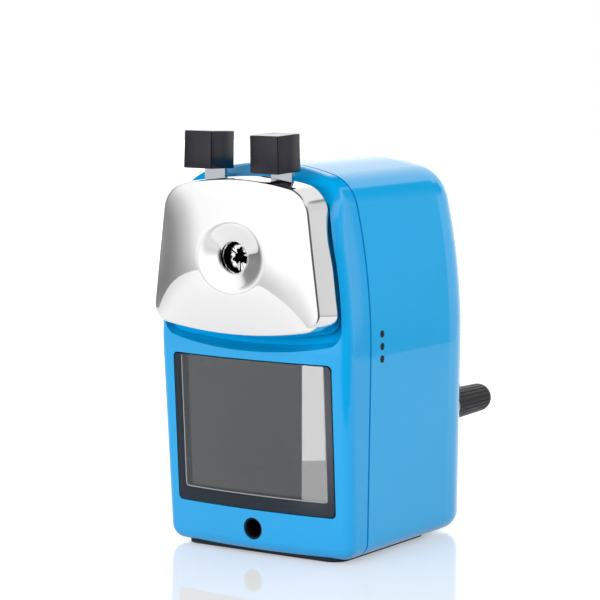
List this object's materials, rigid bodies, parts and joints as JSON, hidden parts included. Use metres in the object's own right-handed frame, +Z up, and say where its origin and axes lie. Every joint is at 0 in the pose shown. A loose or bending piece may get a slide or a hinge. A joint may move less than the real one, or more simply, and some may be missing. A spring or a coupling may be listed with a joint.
{
  "type": "pencil sharpener",
  "caption": "Desk pencil sharpener: bowed blue body, spring-fed sliding chrome face with finger buttons, smoky pull-out shavings drawer and hand crank at the rear.",
  "frame": {"origin": "on the standing plane under the middle of the body", "axes": "+Z up, front towards -Y, crank at +Y, X across the body"},
  "size_m": [0.068, 0.1148, 0.1256],
  "materials": {
    "bezel_blue": "glossy",
    "housing_blue": "glossy",
    "chrome": "polished",
    "steel": "satin",
    "black_plastic": "matt",
    "dark_plastic": "satin",
    "smoke_plastic": "clear, tinted grey",
    "rubber_pad": "matt"
  },
  "bodies": {
    "body": {"front_bezel": "bezel_blue", "rear_housing": "housing_blue", "base_pad": "rubber_pad", "drawer_shelf": "dark_plastic", "housing_screws": "steel", "gear_cup": "dark_plastic", "ring_gear": "steel", "pencil_guide": "dark_plastic", "crank_bearing": "black_plastic", "rod_bushes": "dark_plastic", "feed_springs": "steel"},
    "carriage": {"face_cover": "chrome", "carriage_plate": "steel", "guide_rods": "chrome", "rod_stops": "steel", "lever_pivots": "steel", "lever_springs": "steel", "cover_screws": "steel"},
    "left_clamp": {"left_lever": "chrome", "left_button": "black_plastic", "left_jaw": "dark_plastic"},
    "right_clamp": {"right_lever": "chrome", "right_button": "black_plastic", "right_jaw": "dark_plastic"},
    "top_clamp": {"upper_jaw": "dark_plastic"},
    "crank": {"cutter_carrier": "dark_plastic", "cutter_spindle": "steel", "crank_shaft": "steel", "crank_arm": "steel", "crank_nut": "steel", "knob_pin": "steel"},
    "cutter_unit": {"cutter": "steel", "cutter_pinion": "steel"},
    "knob": {"crank_knob": "black_plastic"},
    "tray": {"drawer": "smoke_plastic"}
  },
  "joints": [
    {"name": "carriage_slide", "type": "slide", "parent": "body", "child": "carriage", "axis": [0, -1, 0], "range_m": [0, 0.036], "stiffness_N_per_m": 80, "springref_m": -0.02, "deforming": ["feed_springs"]},
    {"name": "drawer_slide", "type": "slide", "parent": "body", "child": "tray", "axis": [0, -1, 0], "range_m": [0, 0.05]},
    {"name": "left_lever_pivot", "type": "hinge", "parent": "carriage", "child": "left_clamp", "pos_m": [-0.0118, -0.0379, 0.0984], "axis": [0, 1, 0], "range_deg": [0, 12], "stiffness_Nm_per_rad": 0.5, "springref_deg": -5.73},
    {"name": "right_lever_pivot", "type": "hinge", "parent": "carriage", "child": "right_clamp", "pos_m": [0.0118, -0.0379, 0.0984], "axis": [0, -1, 0], "range_deg": [0, 12]},
    {"name": "upper_jaw_slide", "type": "slide", "parent": "carriage", "child": "top_clamp", "axis": [0, 0, 1], "range_m": [0, 0.0029], "stiffness_N_per_m": 1, "springref_m": 0.004},
    {"name": "crank_spin", "type": "hinge", "parent": "body", "child": "crank", "pos_m": [0, 0.03, 0.0894], "axis": [0, 1, 0], "continuous": true},
    {"name": "cutter_spin", "type": "hinge", "parent": "crank", "child": "cutter_unit", "pos_m": [0, 0.014, 0.09551], "axis": [0, 0.9816, -0.1908], "continuous": true},
    {"name": "knob_spin", "type": "hinge", "parent": "crank", "child": "knob", "pos_m": [0.0192, 0.05, 0.036], "axis": [0, 1, 0], "continuous": true}
  ],
  "couplings": [
    {"joint": "right_lever_pivot", "follows": "left_lever_pivot", "ratio": 1},
    {"joint": "upper_jaw_slide", "follows": "left_lever_pivot", "m_per_rad": 0.0138},
    {"joint": "cutter_spin", "follows": "crank_spin", "ratio": -2.2}
  ]
}
